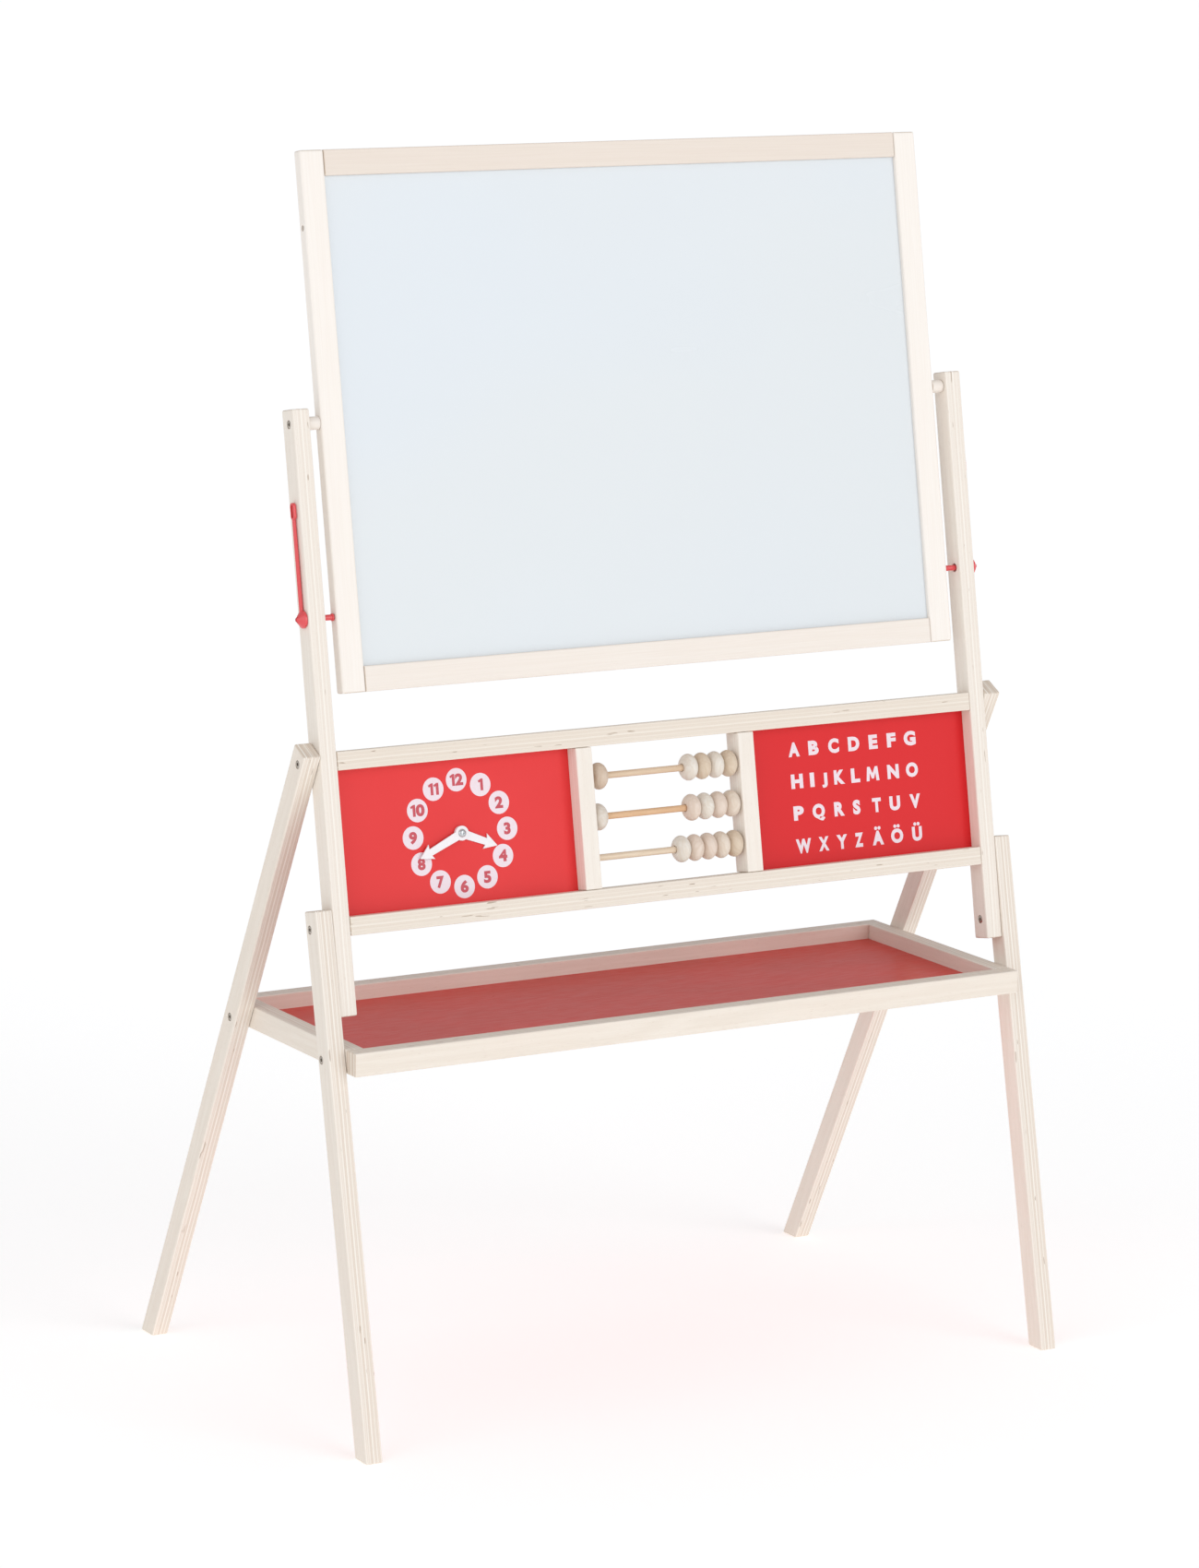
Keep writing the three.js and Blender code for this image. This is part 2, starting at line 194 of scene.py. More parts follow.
def blend_colours(tree, factor, first, second, kind="MIX"):
    """A colour between two others, or their product where the kind is MULTIPLY."""
    made = put(tree, "ShaderNodeMix", {0: factor}, data_type="RGBA", blend_type=kind)
    for socket, value in ((made.inputs[6], first), (made.inputs[7], second)):
        if isinstance(value, bpy.types.NodeSocket):
            tree.links.new(value, socket)
        else:
            socket.default_value = (*value, 1)
    return made.outputs[2]


def relief(tree, height, strength, depth, shader):
    """Fine unevenness of a depth in metres, from a height of 0 to 1."""
    bump = put(tree, "ShaderNodeBump", {"Height": height, "Strength": strength, "Distance": depth})
    tree.links.new(bump.outputs[0], shader.inputs["Normal"])


def dressed(tree, shader, colour, wear, span, least):
    """Gives a shader its colour, and a roughness that wear raises from the least by a span."""
    tree.links.new(colour, shader.inputs["Base Color"])
    roughness = arithmetic(tree, "MULTIPLY_ADD", wear, span, least)
    tree.links.new(roughness, shader.inputs["Roughness"])


# Limed birch plywood. "own" is the place in the piece's own frame in millimetres, with X
# through the plies and Z along the face grain; "cut" is 0 on veneer, 1 on a sawn edge and
# 2 on an end; "tone" is how dark the piece is, and "bold" how clearly its plies show.
plywood, tree, shader = finish_named("limed_birch_plywood", {"Roughness": 0.6})
PLY_STEP = 17.5 / 9  # nine plies in a strip
own = stored(tree, "own", "Vector")
cut, tone, bold = (stored(tree, name) for name in ("cut", "tone", "bold"))
through = put(tree, "ShaderNodeSeparateXYZ", {0: own}).outputs["X"]
# Veneer: long fine fibres, a slow cathedral figure and short brown flecks.
fibres = streaks(tree, own, (0.9, 0.9, 0.03), 5)
slow = streaks(tree, own, (0.04, 0.045, 0.0026), 2)
figure = arithmetic(tree, "SINE", arithmetic(tree, "MULTIPLY", slow, 46.0))
figure = arithmetic(tree, "MULTIPLY_ADD", figure, 0.5, 0.5)
patches = ramp(tree, streaks(tree, own, (0.03, 0.03, 0.006), 2), 0.35, 0.7)
flecks = ramp(tree, streaks(tree, own, (1.5, 1.5, 0.13), 2), 0.63, 0.74)
mix = arithmetic(tree, "MULTIPLY_ADD", figure, 0.30, arithmetic(tree, "MULTIPLY", fibres, 0.75))
mix = arithmetic(tree, "SUBTRACT", mix, 0.15, clamp=True)
veneer = blend_colours(tree, mix, (0.900, 0.845, 0.775), (0.800, 0.725, 0.640))
patches = arithmetic(tree, "MULTIPLY", patches, 0.45)
veneer = blend_colours(tree, patches, veneer, (0.880, 0.795, 0.715))
flecks = arithmetic(tree, "MULTIPLY", flecks, 0.32)
veneer = blend_colours(tree, flecks, veneer, (0.56, 0.42, 0.31))
# Sawn edge: nine plies with wandering glue lines; every other ply shows its end grain.
wander = arithmetic(tree, "SUBTRACT", streaks(tree, own, (0.0, 0.05, 0.012), 2), 0.5)
wander = arithmetic(tree, "MULTIPLY", wander, 1.5)
ply = arithmetic(tree, "DIVIDE", arithmetic(tree, "ADD", through, wander), PLY_STEP)
number = arithmetic(tree, "FLOOR", ply)
part = arithmetic(tree, "SUBTRACT", arithmetic(tree, "FRACT", ply), 0.5)
part = arithmetic(tree, "ABSOLUTE", part)
odd = arithmetic(tree, "PINGPONG", number, 1.0)
at_end = arithmetic(tree, "GREATER_THAN", cut, 1.5)
cross = arithmetic(tree, "ABSOLUTE", arithmetic(tree, "SUBTRACT", odd, at_end))
chance = put(tree, "ShaderNodeTexWhiteNoise", {"W": number}, noise_dimensions="1D")
chance = chance.outputs["Value"]
long_grain = streaks(tree, own, (1.1, 1.1, 0.012), 4)
pores = streaks(tree, own, (1.7, 1.7, 1.1), 3)
mixed_grain = put(tree, "ShaderNodeMix", {0: cross, 2: long_grain, 3: pores}).outputs[0]
edge_mix = arithmetic(tree, "MULTIPLY_ADD", cross, 0.34, arithmetic(tree, "MULTIPLY", chance, 0.30))
edge_mix = arithmetic(tree, "MULTIPLY", arithmetic(tree, "SUBTRACT", edge_mix, 0.32), bold)
edge_mix = arithmetic(tree, "MULTIPLY_ADD", mixed_grain, 0.70, edge_mix)
banding = arithmetic(tree, "GREATER_THAN", chance, 0.5)
banding = arithmetic(tree, "MULTIPLY_ADD", banding, 0.75, -0.1)
edge_mix = arithmetic(tree, "MULTIPLY_ADD", at_end, banding, edge_mix)
edge_mix = arithmetic(tree, "SUBTRACT", edge_mix, 0.08, clamp=True)
sawn = blend_colours(tree, edge_mix, (0.925, 0.875, 0.810), (0.740, 0.640, 0.545))
glue = arithmetic(tree, "MULTIPLY_ADD", at_end, 0.25, arithmetic(tree, "MULTIPLY", bold, 0.30))
glue = arithmetic(tree, "MULTIPLY", ramp(tree, part, 0.34, 0.50), glue)
sawn = blend_colours(tree, glue, sawn, (0.60, 0.49, 0.40))
# Gaps in the core veneers, which open as short dark lines along the edge.
gaps = ramp(tree, streaks(tree, own, (0.35, 0.1, 0.045), 1), 0.725, 0.765)
gaps = arithmetic(tree, "MULTIPLY", gaps, ramp(tree, part, 0.42, 0.25))
sawn = blend_colours(tree, arithmetic(tree, "MULTIPLY", gaps, 0.8), sawn, (0.40, 0.30, 0.22))
is_sawn = arithmetic(tree, "GREATER_THAN", cut, 0.5)
colour = blend_colours(tree, is_sawn, veneer, sawn)
darker = blend_colours(tree, 1.0, colour, (0.90, 0.865, 0.815), "MULTIPLY")
colour = blend_colours(tree, tone, colour, darker)
dressed(tree, shader, colour, fibres, 0.25, 0.45)
height = put(tree, "ShaderNodeMix", {0: is_sawn, 2: fibres, 3: mixed_grain}).outputs[0]
height = arithmetic(tree, "SUBTRACT", height, arithmetic(tree, "MULTIPLY", is_sawn, glue))
relief(tree, height, 0.35, 0.00025, shader)


def lean_of(node):
    """How far a sawn strip leans back, in radians, from its broadest forward face."""
    faces = [p for p in frame["nodes"][node].data.polygons if abs(p.normal.y) > abs(p.normal.z)]
    normal = max((p for p in faces if abs(p.normal.x) < 0.01), key=lambda p: p.area).normal
    normal = normal if normal.y < 0 else -normal
    return math.atan2(normal.z, -normal.y)


def own_turn(stack, grain, lean=0.0):
    """The turn from the easel's axes to a piece's own: X through its plies, Z along its grain."""
    axes = {"X": Vector((1, 0, 0)), "Y": Vector((0, 1, 0)), "Z": Vector((0, 0, 1))}
    rows = (axes[stack], axes[grain].cross(axes[stack]), axes[grain])
    return Matrix(rows) @ Matrix.Rotation(lean, 3, "X")


def own_points(node, turn):
    """The corners of a CAD node, in a piece's own frame."""
    return [turn @ v.co for v in frame["nodes"][node].data.vertices]


def limits(points):
    """The least and the greatest corner of the box round some points."""
    low = Vector([min(p[i] for p in points) for i in range(3)])
    high = Vector([max(p[i] for p in points) for i in range(3)])
    return low, high


def meshed(shape, name):
    """A mesh of a finished shape, which is used up."""
    mesh = bpy.data.meshes.new(name)
    shape.to_mesh(mesh)
    shape.free()
    return mesh


def eased(shape, edges, offset, segments=2):
    """Rounds some edges of a shape."""
    bmesh.ops.bevel(
        shape, geom=edges, offset=offset, segments=segments, profile=0.5, affect="EDGES"
    )


def lathed(name, profile, steps=24, closed=False):
    """A mesh turned about X from (x, radius) points, which start and end on the axis unless
    the profile closes on itself round a bore."""
    shape = bmesh.new()
    rings = []
    for x, radius in profile:
        if radius < 1e-7:
            rings.append([shape.verts.new((x, 0, 0))])
            continue
        turns = [2 * math.pi * i / steps for i in range(steps)]
        ring = [(x, radius * math.cos(turn), radius * math.sin(turn)) for turn in turns]
        rings.append([shape.verts.new(point) for point in ring])
    pairs = list(zip(rings, rings[1:] + rings[:1]))
    for first, second in pairs if closed else pairs[:-1]:
        for i in range(steps):
            j = (i + 1) % steps
            corners = [first[i % len(first)], first[j % len(first)]]
            corners += [second[j % len(second)], second[i % len(second)]]
            corners = list(dict.fromkeys(corners))
            if len(corners) > 2:
                shape.faces.new(corners)
    bmesh.ops.recalc_face_normals(shape, faces=shape.faces)
    return meshed(shape, name)


def smoothed(mesh, angle=40):
    """Smooths a mesh over every edge that is flatter than the angle."""
    mesh.polygons.foreach_set("use_smooth", [True] * len(mesh.polygons))
    mesh.set_sharp_from_angle(angle=math.radians(angle))
    return mesh


def evaluated_mesh(thing):
    """What an object's modifiers or curve make of it, as a plain mesh. The object goes."""
    graph = bpy.context.evaluated_depsgraph_get()
    mesh = bpy.data.meshes.new_from_object(thing.evaluated_get(graph))
    bpy.data.objects.remove(thing)
    return mesh


def carved(mesh, cutters):
    """The mesh with the cutters' meshes taken out of it. Both are used up."""
    tool_shape = bmesh.new()
    for cutter in cutters:
        tool_shape.from_mesh(cutter)
        bpy.data.meshes.remove(cutter)
    tool_mesh = meshed(tool_shape, "tools")
    tools = placed("tools", tool_mesh)
    work = placed("work", mesh)
    cutting = work.modifiers.new("cut", "BOOLEAN")
    cutting.operation = "DIFFERENCE"
    cutting.object = tools
    cutting.solver = "EXACT"
    done = evaluated_mesh(work)
    bpy.data.objects.remove(tools)
    bpy.data.meshes.remove(tool_mesh)
    bpy.data.meshes.remove(mesh)
    return done


def sawn_strip(node, turn, arris):
    """The strip that fills a CAD node, in its own frame, with its arrises rubbed round."""
    points = own_points(node, turn)
    low, high = limits(points)
    shape = bmesh.new()
    corners = []
    for y in (low.y, high.y):
        # A foot is sawn level, so the front and the back of a leg end at their own heights.
        near = [p.z for p in points if abs(p.y - y) < 2e-5]
        for z in (min(near), max(near)):
            corners.append([shape.verts.new((x, y, z)) for x in (low.x, high.x)])
    (a, b), (c, d), (e, f), (g, h) = corners
    sides = (a, b, d, c), (e, g, h, f), (a, e, f, b), (c, d, h, g), (a, c, g, e), (b, f, h, d)
    for side in sides:
        shape.faces.new(side)
    bmesh.ops.recalc_face_normals(shape, faces=shape.faces)
    eased(shape, shape.edges[:], arris, 3)
    return meshed(shape, node)


def finished(mesh, material):
    """The mesh with one material all over."""
    mesh.materials.clear()
    mesh.materials.append(material)
    return mesh


def wooden(mesh, turn, material, seed, tone, bold=0.0):
    """Stores what the wood's pattern reads, then turns the mesh to the easel's axes."""
    low = limits([v.co for v in mesh.vertices])[0]
    shift = Vector((0, seed * 41.0, seed * 733.0))  # another place in the log for each piece
    places = [c for v in mesh.vertices for c in (v.co - low) / MM + shift]
    veneer_end = [(abs(p.normal.x) > 0.7, abs(p.normal.z) > 0.7) for p in mesh.polygons]
    cuts = [2.0 if is_end else 0.0 if is_veneer else 1.0 for is_veneer, is_end in veneer_end]
    mesh.attributes.new("own", "FLOAT_VECTOR", "POINT").data.foreach_set("vector", places)
    mesh.attributes.new("cut", "FLOAT", "FACE").data.foreach_set("value", cuts)
    for name, value in (("tone", tone), ("bold", bold)):
        values = [value] * len(mesh.vertices)
        mesh.attributes.new(name, "FLOAT", "POINT").data.foreach_set("value", values)
    mesh.transform(turn.transposed().to_4x4())
    return finished(mesh, material)


def settled(name, mesh, body, slot, *stands_for):
    """Puts a finished piece in the scene, on its body, in the place of its CAD nodes."""
    piece = placed(name, mesh)
    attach(piece, body)
    if stands_for:
        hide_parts(*stands_for)


def plywood_strip(node, turn, arris, seed, tone, bold, holes=()):
    """One plywood strip of the frame, with its arrises rounded and its holes bored."""
    mesh = sawn_strip(node, turn, arris)
    if holes:
        mesh = carved(mesh, holes)
    wooden(mesh, turn, plywood, seed, tone, bold)
    settled(f"{node}_strip", mesh, "frame", "plywood", node)


def screw_face(node):
    """The middle of a screw's head, and the way that it faces along X."""
    low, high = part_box(node)
    middle = (low + high) / 2
    inward = -1 if "post_screw" in node else 1
    out = math.copysign(1, middle.x) * inward
    return Vector((high.x if out > 0 else low.x, middle.y, middle.z)), out


def bore(turn, point, out, radius, depth, rim=0.0003):
    """A round cutter with an eased rim: it goes in at a point, against the way out along X."""
    profile = [(0.001, 0), (0.001, radius + rim), (0, radius + rim)]
    profile += [(-rim, radius), (-depth, radius), (-depth, 0)]
    cutter = lathed("bore", profile, 28)
    if out < 0:
        cutter.transform(Matrix.Rotation(math.pi, 4, "Z"))
    cutter.transform(Matrix.Translation(point))
    cutter.transform(turn.to_4x4())
    return cutter


HEAD_HOLE, HEAD_DEPTH = 4.05 * MM, 2.6 * MM


def screw_holes(side, kinds, turn):
    """The sunk holes for the heads of some screws on one side."""
    faces = [screw_face(f"{side}_{kind}_screw") for kind in kinds]
    return [bore(turn, place, out, HEAD_HOLE, HEAD_DEPTH) for place, out in faces]


def joint_place(name):
    """A point on a joint's axis."""
    return next(Vector(joint["pos_m"]) for joint in frame["joints"] if joint["name"] == name)


post_lean = lean_of("left_post")
along_post = own_turn("X", "Z", post_lean)
lean_back = along_post.transposed().to_4x4()
LOCK_HOLE = 4.1 * MM
# The lock pins and the pivot screws share the middle plane of the board.
pivot_at = joint_place("board_turn")
LOCK_DROP = 180 * MM
lock_at = pivot_at + along_post.transposed() @ Vector((0, 0, -LOCK_DROP))
for side, sign, seed in (("left", -1, 1), ("right", 1, 2)):
    node = f"{side}_post"
    low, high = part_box(node)
    holes = screw_holes(side, ("pivot", "post"), along_post)
    inner_face = Vector((high.x if sign < 0 else low.x, lock_at.y, lock_at.z))
    holes.append(bore(along_post, inner_face, -sign, LOCK_HOLE, 25 * MM))
    plywood_strip(node, along_post, 1.7 * MM, seed, 0.10, 0.75, holes)

# --------------------------------------------
# Front and rear legs: strips of the same plywood, sawn level at the foot and square at
# the top, and screwed to the outside of the posts and the tray.
# --------------------------------------------
for where, seeds, tone in (("front", (3, 4), 0.25), ("rear", (5, 6), 0.40)):
    for side, seed in zip(("left", "right"), seeds):
        node = f"{side}_{where}_leg"
        turn = own_turn("X", "Z", lean_of(node))
        holes = screw_holes(side, (f"{where}_leg", f"tray_{where}"), turn)
        plywood_strip(node, turn, 1.5 * MM, seed, tone, 1.8, holes)

# --------------------------------------------
# Writing board frame: planed and limed softwood, two full-height stiles and two rails
# between them, with their edges rounded. The stiles have a hole for each lock pin's tip.
# --------------------------------------------
softwood, tree, shader = finish_named("limed_softwood", {"Roughness": 0.5})
own = stored(tree, "own", "Vector")
cut, tone = (stored(tree, name) for name in ("cut", "tone"))
fibres = streaks(tree, own, (1.0, 1.0, 0.02), 5)
slow = streaks(tree, own, (0.12, 0.05, 0.002), 2)
rings = arithmetic(tree, "SINE", arithmetic(tree, "MULTIPLY", slow, 60.0))
rings = arithmetic(tree, "MULTIPLY_ADD", rings, 0.5, 0.5)
patches = ramp(tree, streaks(tree, own, (0.04, 0.03, 0.004), 2), 0.35, 0.7)
mix = arithmetic(tree, "MULTIPLY_ADD", rings, 0.22, arithmetic(tree, "MULTIPLY", fibres, 0.55))
mix = arithmetic(tree, "SUBTRACT", mix, 0.12, clamp=True)
colour = blend_colours(tree, mix, (0.930, 0.885, 0.835), (0.850, 0.780, 0.705))
patches = arithmetic(tree, "MULTIPLY", patches, 0.35)
colour = blend_colours(tree, patches, colour, (0.905, 0.835, 0.775))
end_grain = arithmetic(tree, "GREATER_THAN", cut, 1.5)
pores = streaks(tree, own, (1.4, 1.4, 1.4), 3)
end_colour = blend_colours(tree, pores, (0.85, 0.78, 0.69), (0.66, 0.56, 0.46))
colour = blend_colours(tree, end_grain, colour, end_colour)
darker = blend_colours(tree, 1.0, colour, (0.85, 0.79, 0.74), "MULTIPLY")
colour = blend_colours(tree, arithmetic(tree, "MULTIPLY", tone, 0.5), colour, darker)
dressed(tree, shader, colour, fibres, 0.2, 0.38)
relief(tree, fibres, 0.25, 0.0002, shader)

along_rail = own_turn("Z", "X", post_lean)
LOCK_TIP_HOLE = 2.6 * MM
for side, sign, seed in (("left", -1, 11), ("right", 1, 12)):
    node = f"board_{side}_stile"
    low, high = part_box(node)
    outer = low.x if sign < 0 else high.x
    holes = []
    for drop in (-LOCK_DROP, LOCK_DROP):
        place = pivot_at + along_post.transposed() @ Vector((0, 0, drop))
        place.x = outer
        holes.append(bore(along_post, place, sign, LOCK_TIP_HOLE, 11 * MM))
    mesh = carved(sawn_strip(node, along_post, 2.0 * MM), holes)
    wooden(mesh, along_post, softwood, seed, 0.0)
    settled(f"{node}_strip", mesh, "board", "board_frame", node)
for where, seed, tone in (("top", 13, 1.6), ("bottom", 14, 0.8)):
    node = f"board_{where}_rail"
    mesh = wooden(sawn_strip(node, along_rail, 1.2 * MM), along_rail, softwood, seed, tone)
    settled(f"{node}_strip", mesh, "board", "board_frame", node)

# --------------------------------------------
# Writing sheets: a white enamelled sheet in front and a board with chalk paint behind,
# back to back in the grooves of the board's frame.
# --------------------------------------------
def even_finish(name, values):
    """A new material, its tree, its shader, and the place in the easel in millimetres."""
    material, tree, shader = finish_named(name, values)
    place = put(tree, "ShaderNodeTexCoord").outputs["Object"]
    place = put(tree, "ShaderNodeVectorMath", {0: place, "Scale": 1000.0}, operation="SCALE")
    return material, tree, shader, place.outputs[0]


def eased_board(name, low, high):
    """A plain board that fills the box between two corners, with its edges eased."""
    shape = bmesh.new()
    bmesh.ops.create_cube(shape, size=1)
    bmesh.ops.scale(shape, vec=high - low, verts=shape.verts)
    bmesh.ops.translate(shape, vec=(low + high) / 2, verts=shape.verts)
    eased(shape, shape.edges[:], 0.3 * MM)
    return meshed(shape, name)


enamel, tree, shader, place = even_finish(
    "white_enamel", {"Roughness": 0.25, "Coat Weight": 0.35, "Coat Roughness": 0.2}
)
clouds = ramp(tree, streaks(tree, place, (0.0022, 0.0022, 0.0026), 1), 0.38, 0.62)
colour = blend_colours(tree, clouds, (0.675, 0.725, 0.770), (0.685, 0.725, 0.750))
wiped = streaks(tree, place, (0.004, 0.004, 0.012), 3)
dressed(tree, shader, colour, wiped, 0.08, 0.22)
relief(tree, streaks(tree, place, (0.4, 0.4, 0.4), 1), 0.02, 0.0002, shader)

chalk_paint, tree, shader, place = even_finish(
    "chalk_paint", {"Roughness": 0.85, "Specular IOR Level": 0.25}
)
smears = ramp(tree, streaks(tree, place, (0.006, 0.02, 0.020), 5, 0.7), 0.40, 0.75)
tooth = streaks(tree, place, (1.5, 1.5, 1.5), 3)
smears = arithmetic(tree, "MULTIPLY", smears, 0.05)
colour = blend_colours(tree, smears, (0.022, 0.026, 0.025), (0.55, 0.56, 0.55))
tree.links.new(colour, shader.inputs["Base Color"])
relief(tree, tooth, 0.25, 0.0002, shader)

GROOVE = 1.5 * MM  # how far a sheet's edge goes into the frame
ALL_ROUND = Vector((GROOVE, 0, GROOVE))
for node, material, slot in (
    ("whiteboard_sheet", enamel, "whiteboard"),
    ("chalkboard_sheet", chalk_paint, "chalkboard"),
):
    low, high = limits(own_points(node, along_post))
    mesh = eased_board(node, low - ALL_ROUND, high + ALL_ROUND)
    mesh.transform(lean_back)
    mesh.materials.append(material)
    settled(f"{node}_panel", mesh, "board", slot, node)

# --------------------------------------------
# Pivot spacers: short turned dowels on the pivot screws, which keep the board clear of
# the posts.
# --------------------------------------------
for side, seed in (("left", 21), ("right", 22)):
    node = f"{side}_pivot_spacer"
    low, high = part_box(node)
    half, radius, ease = (high.x - low.x) / 2, (high.z - low.z) / 2, 0.6 * MM
    bored, shoulder = 2.4 * MM, radius - 0.25 * MM
    profile = [(-half, bored), (-half, radius - ease), (-half + 0.18 * MM, shoulder)]
    profile += [(-half + ease, radius), (half - ease, radius), (half - 0.18 * MM, shoulder)]
    profile += [(half, radius - ease), (half, bored)]
    mesh = smoothed(lathed(node, profile, 36, closed=True))
    mesh.transform(own_turn("Z", "X").to_4x4())
    wooden(mesh, own_turn("Z", "X"), softwood, seed, 0.6)
    mesh.transform(Matrix.Translation((low + high) / 2))
    settled(f"{node}_dowel", mesh, "board", "board_frame", node)

# --------------------------------------------
# Lock pins: one red moulding on each post. A pin goes through the post towards the
# board, and a long lever with an eye stands up from its coned hub.
# --------------------------------------------
red_moulding, tree, shader, place = even_finish(
    "red_moulding", {"Roughness": 0.36, "Coat Weight": 0.6, "Coat Roughness": 0.2}
)
flow = streaks(tree, place, (0.25, 0.25, 0.06), 3)
colour = blend_colours(tree, flow, (0.780, 0.070, 0.080), (0.720, 0.050, 0.060))
dressed(tree, shader, colour, flow, 0.2, 0.26)
relief(tree, streaks(tree, place, (1.3, 1.3, 1.3), 2), 0.12, 0.0002, shader)

# Sizes of the moulding in millimetres, from the post's face outwards.
PIN = {"shank": 2.8, "collar": 3.6, "flange": 8.3, "nub": 8.8, "reach": 30.0}
EYE = {"top": 108.0, "bottom": 92.0, "half": 3.75, "off": 2.3, "thick": 3.0, "slot": 2.2}


def thickened(outline, depth):
    """A closed shape: a flat outline of points, drawn out by a depth."""
    shape = bmesh.new()
    face = shape.faces.new([shape.verts.new(point) for point in outline])
    raised = bmesh.ops.extrude_face_region(shape, geom=[face])
    moved = [v for v in raised["geom"] if isinstance(v, bmesh.types.BMVert)]
    bmesh.ops.translate(shape, vec=depth, verts=moved)
    bmesh.ops.recalc_face_normals(shape, faces=shape.faces)
    return shape


def rounded_link(half, inset, thick, steps=14):
    """The shape of a flat link with round ends in Y and Z, thick along X."""
    outline = []
    radius, near = half - inset, EYE["off"] - thick / 2
    for centre, start in ((EYE["top"] - half, 0.0), (EYE["bottom"] + half, math.pi)):
        for i in range(steps + 1):
            turn = start + math.pi * i / steps
            outline.append((near, radius * math.cos(turn), centre + radius * math.sin(turn)))
    return thickened(outline, (thick, 0, 0))


def square_edges(shape, axis):
    """The edges of a shape that lie square to an axis, which is 0, 1 or 2 for X, Y or Z."""
    return [e for e in shape.edges if abs(e.verts[0].co[axis] - e.verts[1].co[axis]) < 1e-6]


shank, collar, flange, nub = (PIN[part] for part in ("shank", "collar", "flange", "nub"))
tip = -PIN["reach"]
pin_profile = [
    (tip, 0), (tip, 2.9), (tip + 0.4, collar), (tip + 1.7, collar), (tip + 2.3, shank),
    (0.3, shank), (0.3, flange - 0.4), (0.6, flange), (2.6, flange), (3.0, flange - 0.5),
    (5.4, 5.0), (nub - 1.4, 2.5), (nub - 0.5, 1.9), (nub, 1.0), (nub, 0),
]
for side, sign in (("left", -1), ("right", 1)):
    node = f"{side}_lock_pin"
    low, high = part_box(f"{side}_post")
    post_face = low.x if sign < 0 else high.x
    body = bmesh.new()
    turned = lathed("pin", pin_profile, 36)
    # A moulding slot across the cone.
    slot = lathed("slot", [(3.6, 0), (3.6, 1.0), (12, 1.5), (12, 0)], 16)
    slot.transform(Matrix.Diagonal((1, 1, 3.0, 1)))
    turned = carved(turned, [slot])
    body.from_mesh(turned)
    # The lever: a round bar that tapers a little towards the eye.
    end = EYE["bottom"] + 1.6
    bar = lathed("bar", [(2.0, 0), (2.0, 2.0), (end, 1.8), (end, 0)], 24)
    bar.transform(Matrix.Translation((EYE["off"], 0, 0)) @ Matrix.Rotation(-math.pi / 2, 4, "Y"))
    body.from_mesh(bar)
    link = rounded_link(EYE["half"], 0.0, EYE["thick"])
    eased(link, square_edges(link, 0), 0.5)
    hole = rounded_link(EYE["half"], EYE["half"] - EYE["slot"], 12)
    body.from_mesh(carved(meshed(link, "link"), [meshed(hole, "hole")]))
    mesh = meshed(body, node)
    mesh.transform(Matrix.Scale(MM, 4))
    if sign < 0:
        mesh.transform(Matrix.Rotation(math.pi, 4, "Z"))
    mesh.transform(Matrix.Rotation(-post_lean, 4, "X"))
    mesh.transform(Matrix.Translation((post_face, lock_at.y, lock_at.z)))
    finished(mesh, red_moulding)
    settled(f"{node}_moulding", smoothed(mesh), node, "red_plastic", node)

# --------------------------------------------
# Play panel frame: two rails between the posts and two mullions between the rails, from
# the same plywood. The rails show their plies in front, and the mullions their veneer.
# --------------------------------------------
for where, seed, tone in (("upper", 31, 0.75), ("lower", 32, 0.65)):
    plywood_strip(f"{where}_panel_rail", along_rail, 1.0 * MM, seed, tone, 0.7)
facing_out = own_turn("Y", "Z", post_lean)
for side, seed in (("left", 33), ("right", 34)):
    plywood_strip(f"{side}_mullion", facing_out, 1.0 * MM, seed, 0.0, 0.5)

# --------------------------------------------
# Red panels: thin fibreboard painted bright red, let into the frame well behind its
# front face. The left one carries the clock and the right one the alphabet.
# --------------------------------------------
red_paint, tree, shader, place = even_finish(
    "red_paint", {"Roughness": 0.42, "Specular IOR Level": 0.3}
)
broad = streaks(tree, place, (0.012, 0.012, 0.012), 2)
colour = blend_colours(tree, broad, (0.780, 0.036, 0.038), (0.740, 0.028, 0.030))
# Painted shade: the red darkens towards the right, so the right board looks a little deeper than
# the left one.
rightward_for_shade = put(tree, "ShaderNodeSeparateXYZ", {0: place}).outputs["X"]
colour = blend_colours(tree, ramp(tree, rightward_for_shade, -60, 60), colour, (0.690, 0.010, 0.014))
roller = streaks(tree, place, (0.9, 0.9, 0.9), 3)
dressed(tree, shader, colour, roller, 0.14, 0.36)
relief(tree, roller, 0.12, 0.0002, shader)

for node in ("clock_panel", "letter_panel"):
    low, high = limits(own_points(node, along_post))
    mesh = eased_board(node, low - ALL_ROUND, high + ALL_ROUND)
    mesh.transform(lean_back)
    mesh.materials.append(red_paint)
    settled(f"{node}_board", mesh, "frame", "red_panel", node)

# --------------------------------------------
# Clock face: a ring of round white spots screen-printed on the left panel, each with
# its numeral in dark red.
# --------------------------------------------
def ink(name, grain, full, thin):
    """A printing ink that is a little thin in places."""
    material, tree, shader, place = even_finish(name, {"Roughness": 0.5})
    thinness = ramp(tree, streaks(tree, place, (grain, grain, grain), 3), 0.3, 0.75)
    colour = blend_colours(tree, thinness, full, thin)
    tree.links.new(colour, shader.inputs["Base Color"])
    relief(tree, thinness, 0.05, 0.0001, shader)
    return material


print_white = ink("print_white", 0.5, (0.83, 0.735, 0.80), (0.84, 0.70, 0.75))
print_red = ink("print_dark_red", 0.6, (0.53, 0.055, 0.08), (0.60, 0.09, 0.12))
INK = 0.08 * MM  # as thick as a print is modelled
FIGURE_INK = 0.06 * MM
RING_RADIUS, SPOT_RADIUS = 50.4, 11.0  # millimetres


